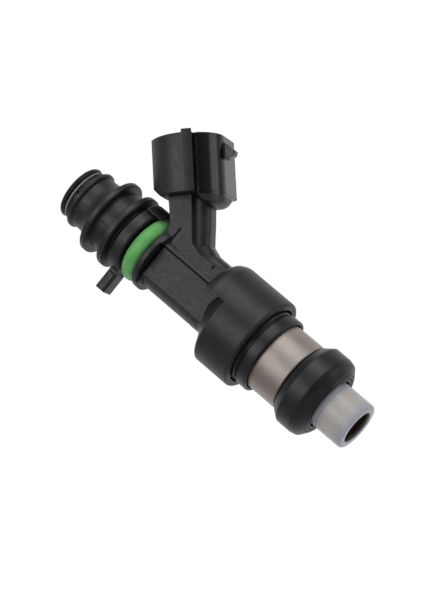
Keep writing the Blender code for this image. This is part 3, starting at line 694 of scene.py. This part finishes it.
# ------------------------------------------------------------------- other outer pieces
def locating_collar():
    """The collar above the green ring, with its tab and a skirt over the ring."""
    ring = lathe("collar_ring", rounded([
        (TUBE_BORE, 57.4 * MM), (7.1 * MM, 57.4 * MM, 0.3 * MM), (7.1 * MM, 55.1 * MM, 0.25 * MM),
        (TUBE_BORE, 55.1 * MM)], 0.05 * MM))
    tab = block("tab", (-11.6 * MM, -1.8 * MM, 54.5 * MM), (-6.0 * MM, 1.8 * MM, 56.7 * MM),
                0.18 * MM)
    ledge = block("tab_ledge", (-11.45 * MM, -1.95 * MM, 54.9 * MM),
                  (-7.6 * MM, -1.6 * MM, 56.2 * MM), 0.1 * MM)
    skirt = lathe("skirt", rounded([
        (6.5 * MM, 57.2 * MM), (7.8 * MM, 57.2 * MM, 0.3 * MM), (7.8 * MM, 53.4 * MM, 0.2 * MM),
        (7.3 * MM, 53.4 * MM, 0.2 * MM), (7.3 * MM, 55.4 * MM), (6.5 * MM, 55.4 * MM)],
        0.05 * MM))
    side = block("skirt_side", (6.1 * MM, -9 * MM, 50 * MM), (9 * MM, 9 * MM, 60 * MM))
    combine(skirt, [side], "INTERSECT")
    room = lathe("ring_room", [(3.0 * MM, 55.0 * MM), (7.25 * MM, 55.0 * MM),
                               (7.25 * MM, 50 * MM), (3.0 * MM, 50 * MM)])
    combine(tab, [room], "DIFFERENCE")
    collar = joined("collar_with_tab", [ring, tab, ledge, skirt])
    fused(collar, COLLAR_VOXEL, PLASTIC)
    return show(collar, "injector", ["locating_collar"])


def wave(angle, centre, width):
    """A smooth bump of height 1 round an angle, both in degrees."""
    away = (math.degrees(angle) - centre + 180) % 360 - 180
    return math.exp(-(away / width) ** 2)


def sleeve_relief(angle, radius):
    """Parting lines along the plain bands of the ribbed sleeve."""
    if radius < 5.3 * MM or radius > 6.7 * MM:
        return 0.0
    lines = wave(angle, 262, 1.6) + wave(angle, 82, 1.6) + 0.6 * wave(angle, 215, 2.2)
    return 0.07 * MM * lines


def ribbed_sleeve():
    """The black sleeve with one narrow rib and two wide fins."""
    inner = 4.6 * MM
    profile = [(inner, 69.5 * MM), (5.7 * MM, 69.5 * MM, 0.1 * MM),
               (6.15 * MM, 69.3 * MM, 0.25 * MM), (6.15 * MM, 68.6 * MM, 0.25 * MM),
               (5.6 * MM, 68.3 * MM, 0.15 * MM), (5.6 * MM, 66.2 * MM, 0.9 * MM),
               (6.3 * MM, 64.7 * MM, 0.5 * MM), (6.5 * MM, 64.3 * MM, 0.1 * MM),
               (7.95 * MM, 64.1 * MM, 0.3 * MM), (7.95 * MM, 62.9 * MM, 0.3 * MM),
               (6.45 * MM, 62.8 * MM, 0.3 * MM), (6.5 * MM, 60.0 * MM, 0.5 * MM),
               (6.6 * MM, 59.8 * MM, 0.2 * MM), (7.95 * MM, 59.6 * MM, 0.3 * MM),
               (7.95 * MM, 58.3 * MM, 0.3 * MM), (6.3 * MM, 58.2 * MM, 0.2 * MM),
               (6.3 * MM, 57.8 * MM, 0.1 * MM), (inner, 57.8 * MM)]
    sleeve = lathe("inlet_sleeve", rounded(profile, 0.05 * MM, 6), PLASTIC, RELIEF_STEPS,
                   sleeve_relief)
    return show(sleeve, "injector", ["ribbed_sleeve"])


def oval(middle, height, half_width, half_height, count=40):
    """Section of a rubber ring, with the mould's thin flash line round it."""
    points = []
    for i in range(count):
        angle = 2 * math.pi * i / count
        flash = 0.035 * MM * math.exp(-(math.sin(angle) / 0.05) ** 2)
        points.append((middle + (half_width + flash) * math.cos(angle),
                       height + half_height * math.sin(angle)))
    return points


def rubber_rings():
    """The green ring, the ring at the inlet and the dust ring under the housing."""
    green = lathe("green_seal", oval(5.15 * MM, 53.15 * MM, 1.75 * MM, 1.65 * MM, 56),
                  GREEN_RUBBER)
    show(green, "injector", ["green_o_ring"])
    inlet = lathe("inlet_lip_seal", oval(5.05 * MM, 71.45 * MM, 0.42 * MM, 0.53 * MM),
                  DARK_RUBBER_AND_SHADE)
    show(inlet, "injector", ["inlet_seal"])
    dust = lathe("sleeve_dust_ring", rounded([
        (7.45 * MM, 24.5 * MM), (7.9 * MM, 24.5 * MM, 0.1 * MM), (7.9 * MM, 23.95 * MM, 0.1 * MM),
        (7.7 * MM, 23.75 * MM, 0.1 * MM), (7.7 * MM, 23.2 * MM, 0.1 * MM),
        (8.05 * MM, 23.1 * MM, 0.35 * MM), (8.05 * MM, 20.8 * MM, 0.45 * MM),
        (7.45 * MM, 20.8 * MM)], 0.1 * MM, 6), RUBBER)
    show(dust, "injector", ["dust_ring"])


def lower_seal():
    """The fat seal, with two ridges on its face towards the tip."""
    profile = [(5.25 * MM, 14.0 * MM), (7.4 * MM, 14.0 * MM, 0.12 * MM),
               (8.6 * MM, 12.35 * MM, 0.12 * MM), (8.6 * MM, 9.25 * MM, 0.12 * MM),
               (8.3 * MM, 8.15 * MM, 0.12 * MM),
               (7.1 * MM, 7.2 * MM, 0.15 * MM), (6.75 * MM, 7.0 * MM, 0.1 * MM),
               (6.6 * MM, 7.2 * MM, 0.1 * MM), (6.4 * MM, 6.85 * MM, 0.1 * MM),
               (6.05 * MM, 6.75 * MM, 0.1 * MM), (5.95 * MM, 7.0 * MM, 0.1 * MM),
               (5.8 * MM, 6.72 * MM, 0.1 * MM), (5.4 * MM, 6.72 * MM, 0.12 * MM),
               (5.25 * MM, 6.95 * MM, 0.05 * MM)]
    seal = lathe("manifold_seal", rounded(profile, 0.05 * MM, 5), RUBBER, FINE_STEPS)
    return show(seal, "injector", ["lower_seal"])


def cap_relief(angle, radius):
    """Two parting lines down the outside of the cap."""
    if radius < 4.8 * MM:
        return 0.0
    lines = wave(angle, 252, 1.2) + wave(angle, 72, 1.2)
    return 0.03 * MM * lines


def nozzle_cap():
    """The plastic cap over the tip, with a shallow groove below its top."""
    profile = [(4.1 * MM, 8.9 * MM), (4.9 * MM, 8.9 * MM, 0.1 * MM),
               (4.9 * MM, 6.35 * MM, 0.1 * MM), (4.82 * MM, 6.25 * MM, 0.1 * MM),
               (4.82 * MM, 5.95 * MM, 0.1 * MM), (4.9 * MM, 5.85 * MM, 0.1 * MM),
               (4.9 * MM, 0.0, 0.85 * MM), (3.45 * MM, 0.0, 0.1 * MM),
               (3.4 * MM, 0.25 * MM, 0.08 * MM), (4.1 * MM, 0.25 * MM, 0.05 * MM)]
    cap = lathe("spray_cap", rounded(profile, 0.05 * MM, 7), CAP_NYLON, RELIEF_STEPS,
                cap_relief)
    return show(cap, "injector", ["nozzle_cap"])


def steel_sleeve():
    """The bare sleeve above the seal, with the dark nose and bore of the valve body."""
    profile = [(3.5 * MM, 24.6 * MM), (7.15 * MM, 24.6 * MM), (7.15 * MM, 14.3 * MM, 0.35 * MM),
               (4.85 * MM, 14.3 * MM), (4.85 * MM, 9.2 * MM, 0.1 * MM), (3.8 * MM, 9.2 * MM),
               (3.8 * MM, 0.55 * MM, 0.1 * MM), (3.35 * MM, 0.55 * MM, 0.1 * MM),
               (3.35 * MM, 2.6 * MM), (2.9 * MM, 2.6 * MM), (2.9 * MM, 22.0 * MM),
               (3.5 * MM, 22.0 * MM)]
    sleeve = lathe("steel_valve_sleeve", rounded(profile, 0.05 * MM, 5), STEEL, FINE_STEPS)
    sleeve.data.materials.append(DARK_STEEL)
    for face in sleeve.data.polygons:
        if face.center.xy.length < 3.75 * MM:
            face.material_index = 1
    return show(sleeve, "injector", ["valve_body"])


def inlet_end():
    """The fuel tube's rim, the washer and the split ring on it."""
    tube = lathe("inlet_tube", rounded([
        (3.4 * MM, 71.8 * MM, 0.25 * MM), (4.3 * MM, 71.8 * MM, 0.25 * MM),
        (4.3 * MM, 57.7 * MM), (3.0 * MM, 57.7 * MM), (3.0 * MM, 46.3 * MM),
        (1.9 * MM, 46.3 * MM), (1.9 * MM, 57.0 * MM, 0.3 * MM), (3.4 * MM, 58.0 * MM, 0.3 * MM)],
        0.05 * MM, 6), BRIGHT_STEEL)
    # The tube's outer wall takes the dark rubber colour: painted shade in the grooves between the
    # inlet rings.
    tube.data.materials.append(DARK_RUBBER_AND_SHADE)
    for face in tube.data.polygons:
        if face.center.xy.length > 4.25 * MM:
            face.material_index = 1
    show(tube, "injector", ["fuel_tube"])
    washer = lathe("inlet_washer", rounded([
        (4.6 * MM, 70.66 * MM), (5.35 * MM, 70.66 * MM, 0.08 * MM),
        (5.35 * MM, 70.44 * MM, 0.08 * MM), (4.6 * MM, 70.44 * MM)], 0.03 * MM), WASHER)
    show(washer, "injector", ["seal_washer"])
    ring = lathe("backup_ring", rounded([
        (4.6 * MM, 70.15 * MM), (5.0 * MM, 70.15 * MM), (5.0 * MM, 69.8 * MM),
        (4.6 * MM, 69.8 * MM)], 0.06 * MM), DARK_RUBBER_AND_SHADE)
    slit = block("slit", (-0.2 * MM, -8 * MM, 69 * MM), (0.2 * MM, -3 * MM, 71 * MM))
    combine(ring, [slit], "DIFFERENCE")
    show(ring, "injector", ["split_ring"])


def filter_gauze():
    """The filter's woven cup: fine wires round and down a thin wall."""
    form = bmesh.new()
    round_count, rows = 56, 22
    low, high, radius = 60.05 * MM, 63.8 * MM, 1.98 * MM
    grid = []
    for j in range(rows + 1):
        height = low + (high - low) * j / rows
        grid.append([form.verts.new((radius * math.cos(2 * math.pi * i / round_count),
                                     radius * math.sin(2 * math.pi * i / round_count),
                                     height)) for i in range(round_count)])
    for here, there in zip(grid, grid[1:]):
        for i in range(round_count):
            j = (i + 1) % round_count
            form.faces.new((here[i], here[j], there[j], there[i]))
    gauze = new_object("woven_filter", form, TINNED)
    wires = gauze.modifiers.new("wires", "WIREFRAME")
    wires.thickness = 0.06 * MM
    wires.use_even_offset = False
    baked(gauze)
    floor = lathe("filter_floor", rounded([
        (1.0 * MM, 60.25 * MM), (2.08 * MM, 60.25 * MM), (2.08 * MM, 60.02 * MM),
        (1.0 * MM, 60.02 * MM)], 0.05 * MM), steps=72)
    gauze = joined("woven_filter_cup", [gauze, floor], TINNED)
    return show(gauze, "injector", ["filter_gauze"])


def orifice_plate():
    """The thin plate with four spray holes round its middle."""
    disc = lathe("spray_plate", rounded([
        (0.12 * MM, 3.3 * MM), (2.6 * MM, 3.3 * MM), (2.6 * MM, 3.0 * MM, 0.08 * MM),
        (1.3 * MM, 3.0 * MM, 0.2 * MM), (1.0 * MM, 2.94 * MM, 0.2 * MM),
        (0.12 * MM, 2.94 * MM)], 0.03 * MM), DARK_STEEL, 96)
    holes = []
    for turn in range(4):
        hole = lathe(f"hole_{turn}", [(0.0005 * MM, 4 * MM), (0.13 * MM, 4 * MM),
                                      (0.13 * MM, 2 * MM), (0.0005 * MM, 2 * MM)], steps=20)
        angle = math.radians(45 + 90 * turn)
        holes.append(moved(hole, Matrix.Translation((0.72 * MM * math.cos(angle),
                                                     0.72 * MM * math.sin(angle), 0.0))))
    combine(disc, holes, "DIFFERENCE")
    return show(disc, "injector", ["orifice_plate"])


# ------------------------------------------------------- CAD nodes that stay as they are
KEPT = {
    "terminal_front": TINNED, "terminal_rear": TINNED, "filter_ring": BRASS,
    "filter_cage": NATURAL_NYLON, "flux_washer": STEEL, "spacer_ring": STEEL,
    "bobbin": NATURAL_NYLON, "coil_winding": COPPER, "coil_case": STEEL,
    "pole_piece": STEEL, "spring_adjuster": TINNED, "return_spring": BRIGHT_STEEL,
    "armature": DARK_STEEL, "needle_tube": BRIGHT_STEEL, "valve_ball": BRIGHT_STEEL,
    "valve_guide": STEEL, "valve_seat": DARK_STEEL,
}


def finish_kept_nodes():
    """Give the CAD nodes that stay their finish, and the blades coined edges."""
    for name, mat in KEPT.items():
        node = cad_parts[name]
        node.data.materials.clear()
        node.data.materials.append(mat)
        if name.startswith("terminal"):
            edges = node.modifiers.new("coined_edges", "BEVEL")
            edges.width = 0.1 * MM
            edges.segments = 3
            edges.limit_method = "ANGLE"


# ------------------------------------------------------------------------- the studio
def aim(obj, place, target):
    """Put an object at a place and point its -Z at a target."""
    obj.location = place
    obj.rotation_euler = (Vector(target) - Vector(place)).to_track_quat("-Z", "Y").to_euler()


def view_axes():
    """The camera's right, up and backward directions, from how it sees each axis."""
    seen_z = Vector((math.cos(CAMERA_TURN) * math.cos(CAMERA_RISE),
                     math.sin(CAMERA_TURN) * math.cos(CAMERA_RISE),
                     -math.sin(CAMERA_RISE)))
    level = Vector((math.sin(CAMERA_TURN), -math.cos(CAMERA_TURN), 0.0))
    sloped = level.cross(seen_z)
    seen_x = math.cos(CAMERA_ROLL) * level + math.sin(CAMERA_ROLL) * sloped
    seen_y = math.sin(CAMERA_ROLL) * level - math.cos(CAMERA_ROLL) * sloped
    return tuple(Matrix((seen_x, seen_y, seen_z)).transposed())


def make_camera(centre, right, up, back):
    lens = bpy.data.cameras.new("camera")
    lens.lens = CAMERA_LENS
    lens.sensor_width = 36.0
    camera = bpy.data.objects.new("camera", lens)
    bpy.context.scene.collection.objects.link(camera)
    place = Matrix((right, up, back)).transposed().to_4x4()
    place.translation = centre + CAMERA_DISTANCE * back
    camera.matrix_world = place
    bpy.context.scene.camera = camera


def softbox(name, place, target, size, power, tint):
    """A soft lamp that the camera doesn't see."""
    lamp = bpy.data.lights.new(name, "AREA")
    lamp.shape = "RECTANGLE"
    lamp.size, lamp.size_y = size
    lamp.energy = power
    lamp.color = tint
    obj = bpy.data.objects.new(name, lamp)
    bpy.context.scene.collection.objects.link(obj)
    aim(obj, place, target)
    obj.visible_camera = False


def make_world(back):
    """A white backdrop, and a room that is bright behind the object and dark in front."""
    world = bpy.data.worlds.new("studio")
    bpy.context.scene.world = world
    world.use_nodes = True
    tree = world.node_tree
    backdrop = tree.nodes["Background"]
    backdrop.inputs["Color"].default_value = (1.0, 1.0, 1.0, 1.0)
    room = tree.nodes.new("ShaderNodeBackground")
    room.inputs["Color"].default_value = (0.97, 0.98, 1.0, 1.0)
    towards = tree.nodes.new("ShaderNodeVectorMath")
    towards.operation = "DOT_PRODUCT"
    towards.inputs[1].default_value = back
    tree.links.new(tree.nodes.new("ShaderNodeTexCoord").outputs["Generated"],
                   towards.inputs[0])
    strength = tree.nodes.new("ShaderNodeMath")
    strength.operation = "MULTIPLY"
    falls = ((-0.85, -0.1, BACKDROP_LIGHT, ROOM_LIGHT), (0.72, 0.92, 1.0, DARK_SIDE))
    for factor, fall in zip(strength.inputs, falls):
        ramp = tree.nodes.new("ShaderNodeMapRange")
        for socket, number in zip(ramp.inputs[1:5], fall):
            socket.default_value = number
        tree.links.new(towards.outputs["Value"], ramp.inputs["Value"])
        tree.links.new(ramp.outputs["Result"], factor)
    tree.links.new(strength.outputs["Value"], room.inputs["Strength"])
    rays = tree.nodes.new("ShaderNodeLightPath")
    either = tree.nodes.new("ShaderNodeMixShader")
    tree.links.new(rays.outputs["Is Camera Ray"], either.inputs["Fac"])
    tree.links.new(room.outputs[0], either.inputs[1])
    tree.links.new(backdrop.outputs[0], either.inputs[2])
    tree.links.new(either.outputs[0], tree.nodes["World Output"].inputs["Surface"])


def make_floor():
    form = bmesh.new()
    bmesh.ops.create_grid(form, x_segments=8, y_segments=8, size=2.0)
    bmesh.ops.translate(form, vec=(0.0, 0.0, FLOOR_HEIGHT), verts=form.verts)
    floor = new_object("floor", form, pale_floor())
    floor.visible_glossy = False


def make_studio():
    """The camera, three soft lamps placed from its view, the world and the floor."""
    right, up, back = view_axes()
    centre = Vector((AIM_OFFSET * math.cos(CAMERA_ROLL), AIM_OFFSET * math.sin(CAMERA_ROLL),
                     AIM_HEIGHT))
    make_camera(centre, right, up, back)
    lamps = (("left_front", (-0.34, 0.12, 0.32), (0.26, 0.32), 0.66, (1.0, 0.99, 1.0)),
             ("top_front", (0.0, 0.42, 0.20), (0.30, 0.28), 0.66, (1.0, 1.0, 1.0)),
             ("right_front", (0.43, 0.10, 0.12), (0.26, 0.34), 0.44, (0.97, 1.0, 0.99)))
    for name, offset, size, power, tint in lamps:
        place = centre + right * offset[0] + up * offset[1] + back * offset[2]
        softbox(name, place, centre, size, power, tint)
    make_world(back)
    make_floor()
    bpy.context.scene.view_settings.view_transform = "Standard"


# ---------------------------------------------------------------------------- building
moulded_body()
locating_collar()
ribbed_sleeve()
rubber_rings()
lower_seal()
nozzle_cap()
steel_sleeve()
inlet_end()
filter_gauze()
orifice_plate()
finish_kept_nodes()
make_studio()
